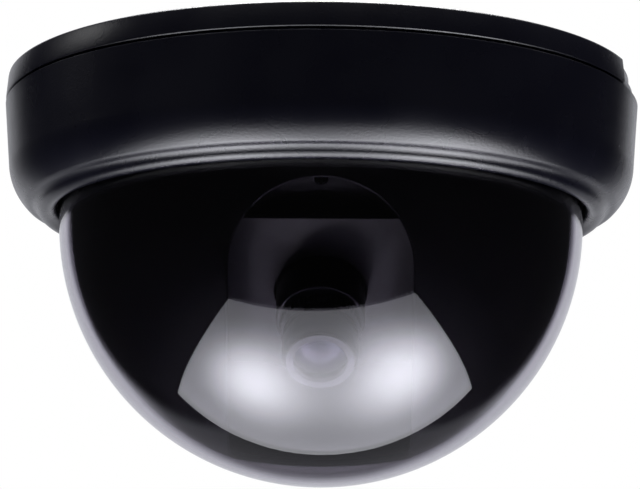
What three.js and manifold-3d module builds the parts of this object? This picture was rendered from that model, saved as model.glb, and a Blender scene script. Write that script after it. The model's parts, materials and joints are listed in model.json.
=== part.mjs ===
// Ceiling dome camera: base plate, twist-off cover with a smoked dome, and a
// board camera that pans, tilts and turns behind a slotted black liner.
// Millimetres, +Z up, origin at the centre of the ceiling face, lens towards -Y.

import * as THREE from "three";
import { mergeVertices } from "three/addons/utils/BufferGeometryUtils.js";
import Module from "manifold-3d";

const wasm = await Module();
wasm.setup();

// ---- driving dimensions ----

const FIT = 0.3; // gap left between pieces that touch
const FINE = 48; // facets round the housing
const MEDIUM = 24; // facets round hand-sized rings
const COARSE = 8; // facets round screws and posts
const DOME_STEPS = 9; // facets from the dome's rim to its lowest point

const HOUSING_RADIUS = 59.95;
const RIM_TOP_RADIUS = 59.5;
const PLATE_THICKNESS = 2.5;
const SEAM_Z = -4.7; // underside of the base plate's rim
const WALL = 2.4; // cover wall

const DOME_RADIUS = 49.4;
const DOME_WALL = 2;
const DOME_CENTRE_Z = -27.5;
const OPENING_RADIUS = 50;
const LEDGE_Z = -24.2; // ledge inside the cover's lip, under the dome gasket

const LINER_RADIUS = 47;
const LINER_WALL = 1.5;
const LINER_NECK_RADIUS = 44.5; // narrower above, beside the ceiling screws
const LINER_NECK_LOW = -20;
const SLOT_HALF_WIDTH = 16.5;
const SLOT_PITCHES = [21.7, 87]; // centres of its round ends, degrees below the horizon

const TURNTABLE_TOP = SEAM_Z - 0.2;
const TURNTABLE_THICKNESS = 2.5;
const TURNTABLE_LOW = TURNTABLE_TOP - TURNTABLE_THICKNESS;

const PIVOT_Z = -37;
const LENS_PITCH = 50; // degrees below the horizon
const MODULE_SIDE = 35;
const ROTOR_RADIUS = 21;
const ARM_INNER_X = 28.2;
const ARM_THICKNESS = 2;

const degrees = THREE.MathUtils.degToRad;

// ---- materials ----

function plastic(color, roughness) {
  return new THREE.MeshStandardMaterial({ color, roughness, metalness: 0 });
}

function metal(color, roughness) {
  return new THREE.MeshStandardMaterial({ color, roughness, metalness: 1 });
}

const housingBlack = plastic(0x14141c, 0.45);
const innerBlack = plastic(0x08080b, 0.6);
const rubber = plastic(0x101012, 0.85);
const smoke = new THREE.MeshStandardMaterial({
  color: 0x14141c,
  roughness: 0.05,
  metalness: 0,
  transparent: true,
  opacity: 0.6,
});
const glass = new THREE.MeshStandardMaterial({
  color: 0x2a2438,
  roughness: 0.03,
  metalness: 0,
  transparent: true,
  opacity: 0.7,
});
const steel = metal(0xb8b8bc, 0.3);
const blackSteel = metal(0x1a1a1d, 0.4);
const brass = metal(0xb08d4a, 0.35);
const boardGreen = plastic(0x123a24, 0.5);
const moduleGrey = plastic(0x2c2a34, 0.5);
const trimGrey = metal(0x7c7c80, 0.45);
const connectorWhite = plastic(0xe6e3d8, 0.5);
const sensorBlack = plastic(0x0c0c10, 0.25);

// ---- solids ----

function solidOf(geometry) {
  const bare = geometry.clone();
  bare.deleteAttribute("normal");
  bare.deleteAttribute("uv");
  const merged = mergeVertices(bare);
  const points = merged.attributes.position;
  const corners = merged.index.array;
  const triangles = [];
  let volume = 0;
  for (let i = 0; i < corners.length; i += 3) {
    const [a, b, c] = corners.slice(i, i + 3);
    if (a === b || b === c || c === a) {
      continue;
    }
    triangles.push([a, b, c]);
    const pa = new THREE.Vector3().fromBufferAttribute(points, a);
    const pb = new THREE.Vector3().fromBufferAttribute(points, b);
    const pc = new THREE.Vector3().fromBufferAttribute(points, c);
    volume += pa.dot(pb.cross(pc));
  }
  const outward = volume > 0 ? triangles : triangles.map(([a, b, c]) => [a, c, b]);
  return new wasm.Manifold(
    new wasm.Mesh({
      numProp: 3,
      vertProperties: new Float32Array(points.array),
      triVerts: new Uint32Array(outward.flat()),
    }),
  );
}

function geometryOf(solid) {
  const mesh = solid.getMesh();
  const geometry = new THREE.BufferGeometry();
  geometry.setAttribute("position", new THREE.BufferAttribute(mesh.vertProperties, 3));
  geometry.setIndex(new THREE.BufferAttribute(mesh.triVerts, 1));
  geometry.computeVertexNormals();
  return geometry;
}

function union(...solids) {
  return solids.reduce((whole, solid) => whole.add(solid));
}

function cut(solid, ...tools) {
  return tools.reduce((rest, tool) => rest.subtract(tool), solid);
}

// Turns a closed outline of [radius, height] points about Z.
function turned(outline, facets = MEDIUM) {
  const points = outline.map(([radius, height]) => new THREE.Vector2(radius, height));
  const onAxis = points[0].x === 0 && points.at(-1).x === 0;
  if (!onAxis) {
    points.push(points[0].clone());
  }
  const geometry = new THREE.LatheGeometry(points, facets);
  geometry.rotateX(Math.PI / 2);
  return solidOf(geometry);
}

function ring(inner, outer, low, high, facets = MEDIUM) {
  return turned([[inner, low], [outer, low], [outer, high], [inner, high]], facets);
}

function disc(radius, low, high, facets = MEDIUM) {
  return turned([[0, low], [radius, low], [radius, high], [0, high]], facets);
}

function block(size, centre) {
  const geometry = new THREE.BoxGeometry(...size);
  geometry.translate(...centre);
  return solidOf(geometry);
}

// A piece of ring between two angles in degrees, counted from +X.
function sector(inner, outer, low, high, start, end) {
  const steps = Math.max(2, Math.ceil(Math.abs(end - start) / 6));
  const outline = new THREE.Shape();
  outline.absarc(0, 0, outer, degrees(start), degrees(end), false);
  outline.absarc(0, 0, inner, degrees(end), degrees(start), true);
  const geometry = new THREE.ExtrudeGeometry(outline, {
    depth: high - low,
    bevelEnabled: false,
    curveSegments: steps,
  });
  geometry.translate(0, 0, low);
  return solidOf(geometry);
}

// A slot-shaped prism through Z: straight sides and round ends.
function slotPrism(length, width, low, high, [x, y], alongY) {
  const reach = (length - width) / 2;
  const ends = [-reach, reach].map((offset) => {
    const place = alongY ? [x, y + offset, 0] : [x + offset, y, 0];
    return disc(width / 2, low, high, COARSE).translate(place);
  });
  const middle = alongY ? [width, 2 * reach] : [2 * reach, width];
  return union(...ends, block([...middle, high - low], [x, y, (low + high) / 2]));
}

function rodAlongX(radius, start, end, facets = COARSE) {
  const geometry = new THREE.CylinderGeometry(radius, radius, end - start, facets);
  geometry.rotateZ(Math.PI / 2);
  geometry.translate((start + end) / 2, 0, 0);
  return solidOf(geometry);
}

function atAngle(solid, radius, angle) {
  const turn = degrees(angle);
  return solid.translate([radius * Math.cos(turn), radius * Math.sin(turn), 0]);
}

// Points on a round stretch of an outline, angles in degrees from the +radius
// direction towards -Z. A point on the axis gets a radius of exactly 0.
function arc([radius, height], size, start, end, steps) {
  return Array.from({ length: steps + 1 }, (_, i) => {
    const angle = degrees(start + ((end - start) * i) / steps);
    const out = radius + size * Math.cos(angle);
    return [out < 1e-9 ? 0 : out, height - size * Math.sin(angle)];
  });
}

// A slotted pan-head screw that points up, towards +Z.
function screwUp(headRadius, headLow, headHigh, shaftRadius, tip) {
  const slotDepth = (headHigh - headLow) * 0.4;
  const slot = block([headRadius * 1.3, headRadius * 0.3, 2 * slotDepth], [0, 0, headLow]);
  const head = disc(headRadius, headLow, headHigh, COARSE);
  return cut(union(head, disc(shaftRadius, headHigh - slotDepth, tip, COARSE)), slot);
}

// The same screw pointing down its own -Z.
function screwDown(headRadius, headLow, headHigh, shaftRadius, tip) {
  return screwUp(headRadius, -headHigh, -headLow, shaftRadius, -tip).rotate([180, 0, 0]);
}

// ---- assembly helpers ----

const camera = new THREE.Group();

function add(group, name, solid, material) {
  const mesh = new THREE.Mesh(geometryOf(solid), material);
  mesh.name = name;
  group.add(mesh);
  return mesh;
}

// ---- base: plate, side cable notch, grommet ----

const SPIGOT_INNER = 53;
const SPIGOT_OUTER = 55;
const SPIGOT_LOW = -11;
const LUG_COUNT = 3;
const LUG_HALF_ANGLE = 7;
const LUG_TURN = 20; // twist from free to locked
const NOTCH_HALF_ANGLE = 21;
const NOTCH_RADIUS = 57.3;
const SIDE_CABLE_HALF_ANGLE = 8;
const CABLE_HOLE_Y = 42;
const CABLE_HOLE_RADIUS = 5.5;
const SCREW_SLOT_LENGTH = 10;
const SCREW_SLOT_WIDTH = 5;
const SCREW_CIRCLE = 48.7;
const PIVOT_POST_RADIUS = 4;
const PIVOT_SCREW_RADIUS = 1.5;

const lugAngles = Array.from({ length: LUG_COUNT }, (_, i) => 90 + (i * 360) / LUG_COUNT);

function basePlate() {
  const rimInner = HOUSING_RADIUS - WALL - 0.3;
  const plate = turned(
    [
      [0, -PLATE_THICKNESS],
      [rimInner, -PLATE_THICKNESS],
      [rimInner, SEAM_Z],
      [HOUSING_RADIUS, SEAM_Z],
      [RIM_TOP_RADIUS, -0.5],
      [RIM_TOP_RADIUS - 0.5, 0],
      [0, 0],
    ],
    FINE,
  );
  const sunk = -PLATE_THICKNESS + 0.5;
  const spigot = ring(SPIGOT_INNER, SPIGOT_OUTER, SPIGOT_LOW, sunk, FINE);
  const post = disc(PIVOT_POST_RADIUS, TURNTABLE_LOW, sunk, MEDIUM);
  const bearing = ring(18, 20, TURNTABLE_TOP + FIT, sunk, MEDIUM);
  const lugs = lugAngles.map((angle) =>
    sector(SPIGOT_OUTER - 0.4, 56.2, -10.8, -8.8, angle - LUG_HALF_ANGLE, angle + LUG_HALF_ANGLE),
  );
  const slots = [30, 150, 270].map((angle) => {
    const turn = degrees(angle);
    const centre = [SCREW_CIRCLE * Math.cos(turn), SCREW_CIRCLE * Math.sin(turn)];
    return slotPrism(SCREW_SLOT_LENGTH, SCREW_SLOT_WIDTH, -4, 1, centre, angle !== 270);
  });
  const cableHole = disc(CABLE_HOLE_RADIUS, -4, 1, MEDIUM).translate([0, CABLE_HOLE_Y, 0]);
  const pilot = disc(PIVOT_SCREW_RADIUS + 0.25, TURNTABLE_LOW - 1, -4, COARSE);
  const notch = sector(NOTCH_RADIUS - FIT, 62, SEAM_Z - 1, 1, -NOTCH_HALF_ANGLE, NOTCH_HALF_ANGLE);
  const sideCable = sector(
    SPIGOT_INNER - 1,
    SPIGOT_OUTER + 1,
    -7.5,
    -PLATE_THICKNESS,
    -SIDE_CABLE_HALF_ANGLE,
    SIDE_CABLE_HALF_ANGLE,
  );
  return cut(union(plate, spigot, post, bearing, ...lugs), ...slots, cableHole, pilot, notch, sideCable);
}

// The knock-out that closes the side notch: a recessed skin with a raised band
// along its foot and a rib at each end.
function notchPlug() {
  const half = NOTCH_HALF_ANGLE - 0.4;
  const top = -0.3;
  const foot = SEAM_Z + FIT;
  const skin = sector(NOTCH_RADIUS, NOTCH_RADIUS + 1, foot, top, -half, half);
  const band = sector(NOTCH_RADIUS + 0.5, NOTCH_RADIUS + 1.7, foot, foot + 1.4, -half, half);
  const ribs = [-half, half - 2].map((start) =>
    sector(NOTCH_RADIUS + 0.5, NOTCH_RADIUS + 1.5, foot, top, start, start + 2),
  );
  return union(skin, band, ...ribs);
}

function cableGrommet() {
  return turned([
    [3.3, -4.1],
    [7.5, -4.1],
    [7.5, -PLATE_THICKNESS - FIT],
    [CABLE_HOLE_RADIUS - FIT, -PLATE_THICKNESS - FIT],
    [CABLE_HOLE_RADIUS - FIT, -0.4],
    [3.3, -0.4],
  ]).translate([0, CABLE_HOLE_Y, 0]);
}

const washerTop = TURNTABLE_LOW - FIT;
const washerLow = washerTop - 0.6;
const panHeadTop = washerLow - FIT;

add(camera, "base_plate", basePlate(), housingBlack);
add(camera, "cable_notch_plug", notchPlug(), housingBlack);
add(camera, "cable_grommet", cableGrommet(), rubber);
add(camera, "pan_washer", ring(2.2, 7.5, washerLow, washerTop), brass);
add(camera, "pan_screw", screwUp(6, panHeadTop - 2, panHeadTop, PIVOT_SCREW_RADIUS, -4.3), steel);

// ---- cover: seal, ring, gasket, dome, clamp ring, screws ----

const CLAMP_EAR_RADIUS = 53.6;
const CLAMP_EAR_ANGLES = [90, 210, 330];
const CLAMP_EAR_LOW = -18;
const CLAMP_EAR_TOP = -16.2;
const gasketLow = LEDGE_Z + FIT;
const gasketTop = gasketLow + 0.6;
const flangeLow = gasketTop + FIT;
const flangeTop = flangeLow + 1.6;
const clampLow = flangeTop + FIT;

function coverRing() {
  const wallFootRadius = 59.07;
  const wallFoot = -17;
  const shoulder = 10.4;
  const lip = 1.9;
  const lipCentre = [OPENING_RADIUS + lip, -26.5 + lip];
  const shell = turned(
    [
      [HOUSING_RADIUS - 0.3, SEAM_Z - FIT],
      [HOUSING_RADIUS, SEAM_Z - FIT - 0.3],
      ...arc([wallFootRadius - shoulder, wallFoot + 0.5], shoulder, 2.7, 49, 6),
      [54.9, -24.15],
      [54.3, -24.5],
      ...arc(lipCentre, lip, 22, 180, 6),
      [OPENING_RADIUS, LEDGE_Z],
      [53.2, LEDGE_Z],
      [53.6, -22],
      [55.2, -20.4],
      [56.5, -17.5],
      [HOUSING_RADIUS - WALL, SEAM_Z - FIT],
    ],
    FINE,
  );
  const bosses = CLAMP_EAR_ANGLES.map((angle) =>
    atAngle(disc(2.1, clampLow, CLAMP_EAR_LOW - FIT, COARSE), CLAMP_EAR_RADIUS, angle),
  );
  const pilots = CLAMP_EAR_ANGLES.map((angle) =>
    atAngle(disc(1.2, clampLow + 0.5, CLAMP_EAR_LOW, COARSE), CLAMP_EAR_RADIUS, angle),
  );
  const lugs = lugAngles.map((angle) => {
    const start = angle + LUG_TURN - LUG_HALF_ANGLE;
    return sector(55.4, HOUSING_RADIUS - WALL + 0.6, -8.5, -6.5, start, start + 2 * LUG_HALF_ANGLE);
  });
  return cut(union(shell, ...bosses, ...lugs), ...pilots);
}

function domeBubble() {
  const inner = DOME_RADIUS - DOME_WALL;
  const centre = [0, DOME_CENTRE_Z];
  return turned(
    [
      ...arc(centre, DOME_RADIUS, 90, 0, DOME_STEPS),
      [DOME_RADIUS, flangeLow],
      [52.6, flangeLow],
      [52.6, flangeTop],
      [inner, flangeTop],
      ...arc(centre, inner, 0, 90, DOME_STEPS),
    ],
    FINE,
  );
}

function domeClampRing() {
  const band = ring(48.2, 51.2, clampLow, CLAMP_EAR_TOP, FINE);
  const ears = CLAMP_EAR_ANGLES.map((angle) =>
    union(
      atAngle(disc(2.2, CLAMP_EAR_LOW, CLAMP_EAR_TOP, COARSE), CLAMP_EAR_RADIUS, angle),
      sector(50, CLAMP_EAR_RADIUS, CLAMP_EAR_LOW, CLAMP_EAR_TOP, angle - 2.2, angle + 2.2),
    ),
  );
  const holes = CLAMP_EAR_ANGLES.map((angle) =>
    atAngle(disc(1.4, CLAMP_EAR_LOW - 1, CLAMP_EAR_TOP + 1, COARSE), CLAMP_EAR_RADIUS, angle),
  );
  return cut(union(band, ...ears), ...holes);
}

add(camera, "cover_seal", ring(56.4, 57.1, -6.2, -PLATE_THICKNESS - 0.4, FINE), rubber);
add(camera, "cover_ring", coverRing(), housingBlack);
add(camera, "dome_gasket", ring(50.3, 52.9, gasketLow, gasketTop, FINE), rubber);
add(camera, "dome_bubble", domeBubble(), smoke);
add(camera, "dome_clamp_ring", domeClampRing(), innerBlack);
CLAMP_EAR_ANGLES.forEach((angle, i) => {
  const headLow = CLAMP_EAR_TOP + FIT;
  const screw = screwDown(2, headLow, headLow + 1.4, 0.9, clampLow + 0.8);
  add(camera, `clamp_screw_${i + 1}`, atAngle(screw, CLAMP_EAR_RADIUS, angle), blackSteel);
});

// ---- pan body: turntable, bracket arms, inner liner ----

const SPOKE_ANGLES = [45, 135, 225, 315];
const SPOKE_END = 42.5;
const LINER_SCREW_RADIUS = 41;
const LINER_TOP = TURNTABLE_LOW - 0.4;
const FLANGE_THICKNESS = 1.5;
const FOOT_THICKNESS = 1.8;
const FOOT_SCREW_X = 24;
const FOOT_SCREW_Y = 4;
const ARM_HALF_WIDTH = 7;
const footTop = TURNTABLE_LOW - FIT;
const footLow = footTop - FOOT_THICKNESS;
const screwTip = TURNTABLE_LOW + 1.8;

function turntable() {
  const plate = ring(PIVOT_POST_RADIUS + 0.3, 33, TURNTABLE_LOW, TURNTABLE_TOP, 36);
  const spokes = SPOKE_ANGLES.map((angle) =>
    block([SPOKE_END - 30, 9, TURNTABLE_THICKNESS], [
      (SPOKE_END + 30) / 2,
      0,
      (TURNTABLE_LOW + TURNTABLE_TOP) / 2,
    ]).rotate([0, 0, angle]),
  );
  const linerPilots = SPOKE_ANGLES.map((angle) =>
    atAngle(disc(1.2, TURNTABLE_LOW - 1, screwTip + FIT, COARSE), LINER_SCREW_RADIUS, angle),
  );
  const footPilots = footScrewPlaces().map((place) =>
    disc(1.2, TURNTABLE_LOW - 1, screwTip + FIT, COARSE).translate([...place, 0]),
  );
  return cut(union(plate, ...spokes), ...linerPilots, ...footPilots);
}

function footScrewPlaces() {
  return [-FOOT_SCREW_X, FOOT_SCREW_X].flatMap((x) => [
    [x, -FOOT_SCREW_Y],
    [x, FOOT_SCREW_Y],
  ]);
}

// One upright of the bracket: side is -1 on the left, 1 on the right.
function bracketArm(side) {
  const outerX = ARM_INNER_X + ARM_THICKNESS;
  const middleX = ARM_INNER_X + ARM_THICKNESS / 2;
  const width = 2 * ARM_HALF_WIDTH;
  const upright = block([ARM_THICKNESS, width, footTop - PIVOT_Z], [middleX, 0, (footTop + PIVOT_Z) / 2]);
  const eye = rodAlongX(ARM_HALF_WIDTH, ARM_INNER_X, outerX, MEDIUM).translate([0, 0, PIVOT_Z]);
  const foot = block([outerX - 20.5, width, FOOT_THICKNESS], [
    (outerX + 20.5) / 2,
    0,
    (footTop + footLow) / 2,
  ]);
  const pivotHole = rodAlongX(1.8, ARM_INNER_X - 1, outerX + 1).translate([0, 0, PIVOT_Z]);
  const screwHoles = [-FOOT_SCREW_Y, FOOT_SCREW_Y].map((y) =>
    disc(1.3, footLow - 1, footTop + 1, COARSE).translate([FOOT_SCREW_X, y, 0]),
  );
  const arm = cut(union(upright, eye, foot), pivotHole, ...screwHoles);
  return side > 0 ? arm : arm.rotate([0, 0, 180]);
}

// The hollow that the lens looks out through: round at both ends and straight
// between them, swept about the dome's centre in the tilt plane.
function linerSlot() {
  const near = 30;
  const far = 60;
  const ends = SLOT_PITCHES.map((pitch) =>
    disc(SLOT_HALF_WIDTH, near, far, MEDIUM).rotate([90 + pitch, 0, 0]),
  );
  const [start, end] = SLOT_PITCHES.map(degrees);
  const wedge = new THREE.Shape();
  wedge.absarc(0, 0, far, start, end, false);
  wedge.absarc(0, 0, near, end, start, true);
  const sweep = new THREE.ExtrudeGeometry(wedge, {
    depth: 2 * SLOT_HALF_WIDTH,
    bevelEnabled: false,
    curveSegments: 12,
  });
  sweep.translate(0, 0, -SLOT_HALF_WIDTH);
  // The wedge's plane becomes the tilt plane: its +X points forward, its +Y down.
  sweep.applyMatrix4(new THREE.Matrix4().set(0, 0, 1, 0, -1, 0, 0, 0, 0, -1, 0, 0, 0, 0, 0, 1));
  return union(...ends, solidOf(sweep)).translate([0, 0, DOME_CENTRE_Z]);
}

function innerLiner() {
  const inner = LINER_RADIUS - LINER_WALL;
  const neckInner = LINER_NECK_RADIUS - LINER_WALL;
  const flangeInner = 39.5;
  const flangeLow = LINER_TOP - FLANGE_THICKNESS;
  const shell = turned(
    [
      ...arc([0, DOME_CENTRE_Z], LINER_RADIUS, 90, 0, DOME_STEPS),
      [LINER_NECK_RADIUS, LINER_NECK_LOW],
      [LINER_NECK_RADIUS, LINER_TOP],
      [flangeInner, LINER_TOP],
      [flangeInner, flangeLow],
      [neckInner, flangeLow],
      [neckInner, LINER_NECK_LOW],
      ...arc([0, DOME_CENTRE_Z], inner, 0, 90, DOME_STEPS),
    ],
    36,
  );
  const holes = SPOKE_ANGLES.map((angle) =>
    atAngle(disc(1.3, LINER_TOP - 3, LINER_TOP + 1, COARSE), LINER_SCREW_RADIUS, angle),
  );
  return cut(shell, linerSlot(), ...holes);
}

add(camera, "turntable", turntable(), innerBlack);
add(camera, "bracket_arm_left", bracketArm(-1), innerBlack);
add(camera, "bracket_arm_right", bracketArm(1), innerBlack);
footScrewPlaces().forEach((place, i) => {
  const headHigh = footLow - FIT;
  const screw = screwUp(2.2, headHigh - 1.4, headHigh, 0.9, screwTip);
  add(camera, `bracket_screw_${i + 1}`, screw.translate([...place, 0]), blackSteel);
});
add(camera, "inner_liner", innerLiner(), innerBlack);
SPOKE_ANGLES.forEach((angle, i) => {
  const headHigh = LINER_TOP - FLANGE_THICKNESS - FIT;
  const screw = screwUp(1.7, headHigh - 1.2, headHigh, 0.9, screwTip);
  add(camera, `liner_screw_${i + 1}`, atAngle(screw, LINER_SCREW_RADIUS, angle), blackSteel);
});

// ---- tilt body: cradle, retainer, pivot screws ----
// Everything below lies in the optical frame: origin on the tilt axis, +X the
// tilt axis, +Z out of the lens.

const optical = new THREE.Group();
optical.position.z = PIVOT_Z;
optical.rotation.x = degrees(90 + LENS_PITCH);
camera.add(optical);

const CRADLE_OUTER = 25.4;
const CRADLE_LOW = -5.5;
const CRADLE_TOP = -1.5;
const EAR_START = 24.8;
const EAR_END = 27.2;
const RETAINER_SCREW_Y = 22.9;

function tiltCradle() {
  const hoop = ring(ROTOR_RADIUS + 0.3, CRADLE_OUTER, CRADLE_LOW, CRADLE_TOP, MEDIUM);
  const lip = ring(18.5, ROTOR_RADIUS + 0.8, CRADLE_LOW, CRADLE_LOW + 1.2, MEDIUM);
  const ears = [-1, 1].map((side) => {
    const ear = cut(rodAlongX(5, EAR_START, EAR_END, MEDIUM), rodAlongX(1.8, EAR_END - 1.8, EAR_END + 1));
    return side > 0 ? ear : ear.rotate([0, 0, 180]);
  });
  const pilots = [-RETAINER_SCREW_Y, RETAINER_SCREW_Y].map((y) =>
    disc(0.9, -4.6, CRADLE_TOP + 1, COARSE).translate([0, y, 0]),
  );
  return cut(union(hoop, lip, ...ears), ...pilots);
}

function rotorRetainer() {
  const holes = [-RETAINER_SCREW_Y, RETAINER_SCREW_Y].map((y) =>
    disc(1, -2, 1, COARSE).translate([0, y, 0]),
  );
  return cut(ring(19.6, 24.4, CRADLE_TOP + FIT, CRADLE_TOP + 1.2, MEDIUM), ...holes);
}

function onSide(solid, side) {
  return side > 0 ? solid : solid.rotate([0, 0, 180]);
}

// Thumb screw through the arm's eye, with a grip of eight flutes.
function tiltScrew(side) {
  const armOuter = ARM_INNER_X + ARM_THICKNESS;
  const headStart = armOuter + FIT;
  const headEnd = headStart + 3;
  const flutes = Array.from({ length: 8 }, (_, i) => {
    const turn = (i * Math.PI) / 4;
    const place = [0, 4.8 * Math.cos(turn), 4.8 * Math.sin(turn)];
    return rodAlongX(0.9, headStart - 1, headEnd + 1, 8).translate(place);
  });
  const head = cut(rodAlongX(4.5, headStart, headEnd, MEDIUM), ...flutes);
  return onSide(union(head, rodAlongX(1.5, EAR_END - 1.5, headStart + 1)), side);
}

function tiltWasher(side) {
  const start = EAR_END + FIT;
  return onSide(cut(rodAlongX(4.5, start, start + 0.4, MEDIUM), rodAlongX(1.8, start - 1, start + 2)), side);
}

add(optical, "tilt_cradle", tiltCradle(), innerBlack);
add(optical, "rotor_retainer", rotorRetainer(), innerBlack);
[-1, 1].forEach((side, i) => {
  const word = side < 0 ? "left" : "right";
  const headLow = CRADLE_TOP + 1.2 + FIT;
  const screw = screwDown(1.3, headLow, headLow + 0.9, 0.6, -4.2);
  add(optical, `retainer_screw_${i + 1}`, screw.translate([0, side * RETAINER_SCREW_Y, 0]), blackSteel);
  add(optical, `tilt_washer_${word}`, tiltWasher(side), brass);
  add(optical, `tilt_screw_${word}`, tiltScrew(side), blackSteel);
});

// ---- camera module: rotor, boards, sensor, lens holder ----

const PLATE_FRONT = 5;
const PLATE_BACK = 3.8;
const HOLDER_FOOT = 1.8;
const BOARD_SIDE = 28;
const BOARD_FRONT = HOLDER_FOOT - FIT;
const BOARD_BACK = BOARD_FRONT - 1.6;
const ROTOR_FRONT = -2;
const ROTOR_BACK = -4;
const MODULE_SCREW_OFFSET = 12;
const POST_OFFSET = 11.5;
const REAR_BOARD_FRONT = -8;
const REAR_BOARD_BACK = -9.6;
const HOLDER_SIDE = 17;
const HOLDER_FLANGE_TOP = PLATE_BACK - FIT;
const TOWER_RADIUS = 8.3;
const HOLDER_TOP = 13.5;
const HOLDER_SCREW_OFFSET = 6.9;

const signs = [
  [-1, -1],
  [1, -1],
  [1, 1],
  [-1, 1],
];

function squarePlate(side, low, high) {
  return block([side, side, high - low], [0, 0, (low + high) / 2]);
}

function atCorners(solid, offset) {
  return signs.map(([x, y]) => solid.translate([x * offset, y * offset, 0]));
}

// The module's screws come from behind, one at the middle of each side.
function atSides(solid) {
  return [-MODULE_SCREW_OFFSET, MODULE_SCREW_OFFSET].flatMap((offset) => [
    solid.translate([offset, 0, 0]),
    solid.translate([0, offset, 0]),
  ]);
}

function moduleFrontPlate() {
  const bosses = atSides(disc(2, BOARD_FRONT + FIT, PLATE_BACK + 0.5, COARSE));
  const pilots = atSides(disc(0.9, BOARD_FRONT - 1, PLATE_FRONT - 0.7, COARSE));
  return cut(
    union(squarePlate(MODULE_SIDE, PLATE_BACK, PLATE_FRONT), ...bosses),
    disc(TOWER_RADIUS + FIT, PLATE_BACK - 1, PLATE_FRONT + 1, MEDIUM),
    ...pilots,
  );
}

function moduleRotor() {
  const bosses = atSides(disc(2, ROTOR_FRONT - 0.5, BOARD_BACK - FIT, COARSE));
  const holes = atSides(disc(1, ROTOR_BACK - 1, BOARD_BACK + 1, COARSE));
  return cut(union(disc(ROTOR_RADIUS, ROTOR_BACK, ROTOR_FRONT, MEDIUM), ...bosses), ...holes);
}

function sensorBoard() {
  const holderHoles = [-1, 1].map((side) =>
    disc(0.9, -3, 3, COARSE).translate([side * HOLDER_SCREW_OFFSET, side * HOLDER_SCREW_OFFSET, 0]),
  );
  return cut(
    squarePlate(BOARD_SIDE, BOARD_BACK, BOARD_FRONT),
    ...atSides(disc(1, -3, 3, COARSE)),
    ...holderHoles,
  );
}

function lensHolder() {
  const chamberTop = 4.4;
  const pilots = [-1, 1].map((side) =>
    disc(0.8, HOLDER_FOOT - 1, HOLDER_FLANGE_TOP + 1, COARSE).translate([
      side * HOLDER_SCREW_OFFSET,
      side * HOLDER_SCREW_OFFSET,
      0,
    ]),
  );
  return cut(
    union(
      squarePlate(HOLDER_SIDE, HOLDER_FOOT, HOLDER_FLANGE_TOP),
      disc(TOWER_RADIUS, HOLDER_FOOT + 0.5, HOLDER_TOP, MEDIUM),
    ),
    squarePlate(11, HOLDER_FOOT - 1, chamberTop),
    disc(6.1, chamberTop - 1, HOLDER_TOP + 1, MEDIUM),
    ...pilots,
  );
}

// A board header: an open-fronted shell with its row of pins.
function header(pins, [x, y]) {
  const pitch = 2;
  const length = pins * pitch + 2.4;
  const front = REAR_BOARD_BACK - FIT;
  const back = front - 5.5;
  const shell = cut(
    block([length, 4.6, 5.5], [0, 0, (front + back) / 2]),
    block([length - 1.6, 3, 4.5], [0, 0, back + 2.2]),
  );
  const rows = Array.from({ length: pins }, (_, i) =>
    block([0.6, 0.6, 4.5], [(i - (pins - 1) / 2) * pitch, 0, front - 2.9]),
  );
  return union(shell, ...rows).translate([x, y, 0]);
}

add(optical, "module_front_plate", moduleFrontPlate(), moduleGrey);
add(optical, "module_rotor", moduleRotor(), innerBlack);
add(optical, "sensor_board", sensorBoard(), boardGreen);
add(optical, "image_sensor", squarePlate(9, BOARD_FRONT + FIT, 3), sensorBlack);
add(optical, "ir_filter", squarePlate(8, 3.3, 3.9), glass);
add(optical, "lens_holder", lensHolder(), innerBlack);
[-1, 1].forEach((side, i) => {
  const headHigh = BOARD_BACK - FIT;
  const screw = screwUp(1.3, headHigh - 0.9, headHigh, 0.55, 3.2);
  const offset = side * HOLDER_SCREW_OFFSET;
  add(optical, `holder_screw_${i + 1}`, screw.translate([offset, offset, 0]), steel);
});
const moduleScrew = screwUp(1.6, ROTOR_BACK - FIT - 1, ROTOR_BACK - FIT, 0.65, PLATE_FRONT - 1);
atSides(moduleScrew).forEach((screw, i) => {
  add(optical, `module_screw_${i + 1}`, screw, blackSteel);
});
add(optical, "rear_board", squarePlate(BOARD_SIDE, REAR_BOARD_BACK, REAR_BOARD_FRONT), boardGreen);
const boardPost = disc(1.5, REAR_BOARD_FRONT + FIT, ROTOR_BACK - FIT, 6);
atCorners(boardPost, POST_OFFSET).forEach((post, i) => {
  add(optical, `board_post_${i + 1}`, post, brass);
});
add(optical, "power_connector", header(2, [-6, 8]), connectorWhite);
add(optical, "video_connector", header(3, [5.5, 8]), connectorWhite);
const capacitorTop = REAR_BOARD_BACK - FIT;
add(
  optical,
  "capacitor",
  disc(3.2, capacitorTop - 6, capacitorTop, MEDIUM).translate([-6, -5, 0]),
  metal(0x1b2140, 0.4),
);

// ---- lens: barrel, glass, rings ----

const LENS_FRONT = 25;
const BARREL_FRONT = 24.2;
const SHANK_RADIUS = 5.8;
const HEAD_BACK = 17.5;
const HEAD_RADIUS = 7;
const FRONT_RADIUS = 6.4;
const GLASS_BORE = 5.8;

function lensBarrel() {
  return turned([
    [4.2, 5.5],
    [SHANK_RADIUS, 5.5],
    [SHANK_RADIUS, HEAD_BACK],
    [HEAD_RADIUS, HEAD_BACK],
    [HEAD_RADIUS, 22.3],
    [FRONT_RADIUS, BARREL_FRONT],
    [GLASS_BORE, BARREL_FRONT],
    [GLASS_BORE, 19.2],
    [4.2, 19.2],
  ]);
}

// The grey ring that holds the front glass: a sleeve in the barrel's bore under a flat rim.
function frontRing() {
  const rim = BARREL_FRONT + FIT;
  const sleeve = GLASS_BORE - FIT;
  return turned([
    [4.9, 23.8],
    [sleeve, 23.8],
    [sleeve, rim],
    [FRONT_RADIUS - 0.1, rim],
    [FRONT_RADIUS - 0.1, LENS_FRONT],
    [4.9, LENS_FRONT],
  ]);
}

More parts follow.
